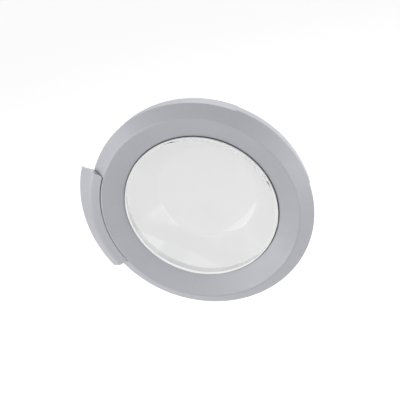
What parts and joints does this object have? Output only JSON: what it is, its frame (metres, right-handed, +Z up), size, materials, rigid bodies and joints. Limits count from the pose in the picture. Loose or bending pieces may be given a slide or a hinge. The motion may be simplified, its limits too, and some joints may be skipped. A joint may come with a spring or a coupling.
{
  "type": "washing machine door",
  "caption": "Round front-loading washing machine door: silver ring frame, clear glass bowl, sprung pull handle with latch hook, and a hinge that screws to the machine's front panel.",
  "frame": {"origin": "middle of the two hinge screw holes, on the bracket's bearing face against the machine's front panel", "axes": "+Y into the machine, +Z up, +X from the handle towards the hinge; the door's round axis is parallel to Y at x = -0.180"},
  "size_m": [0.4622, 0.1053, 0.4354],
  "materials": {
    "silver_plastic": "satin silver paint",
    "rear_plastic": "fine grained light grey",
    "grey_plastic": "fine grained grey",
    "white_plastic": "smooth",
    "glass": "clear pressed glass",
    "rubber": "matt",
    "cast_metal": "die-cast, shot blasted",
    "steel": "bright zinc plate"
  },
  "bodies": {
    "bracket": {"hinge_bracket": "cast_metal", "hinge_pin": "steel", "pin_clip": "steel"},
    "door": {"outer_frame": "silver_plastic", "inner_frame": "rear_plastic", "glass_bowl": "glass", "glass_gasket": "rubber", "frame_screws": "steel", "door_buffers": "rubber", "hinge_leaf": "cast_metal", "leaf_screws": "steel", "hinge_bush_upper": "white_plastic", "hinge_bush_lower": "white_plastic", "handle_pin": "steel", "handle_spring": "steel", "hook_pin": "steel", "hook_spring": "steel"},
    "pull": {"handle": "silver_plastic", "handle_liner": "grey_plastic"},
    "hook": {"latch_hook": "cast_metal"}
  },
  "joints": [
    {"name": "door_swing", "type": "hinge", "parent": "bracket", "child": "door", "pos_m": [0.026, -0.02, 0], "axis": [0, 0, 1], "range_deg": [0, 135]},
    {"name": "handle_pull", "type": "hinge", "parent": "door", "child": "pull", "pos_m": [-0.387, -0.0383, 0], "axis": [0, 0, 1], "range_deg": [0, 14], "stiffness_Nm_per_rad": 1, "springref_deg": -8.59, "deforming": ["handle_spring"]},
    {"name": "hook_turn", "type": "hinge", "parent": "door", "child": "hook", "pos_m": [-0.372, -0.012, 0], "axis": [0, 0, 1], "range_deg": [-17, 0], "deforming": ["hook_spring"]}
  ],
  "couplings": [
    {"joint": "hook_turn", "follows": "handle_pull", "ratio": -1.2}
  ]
}
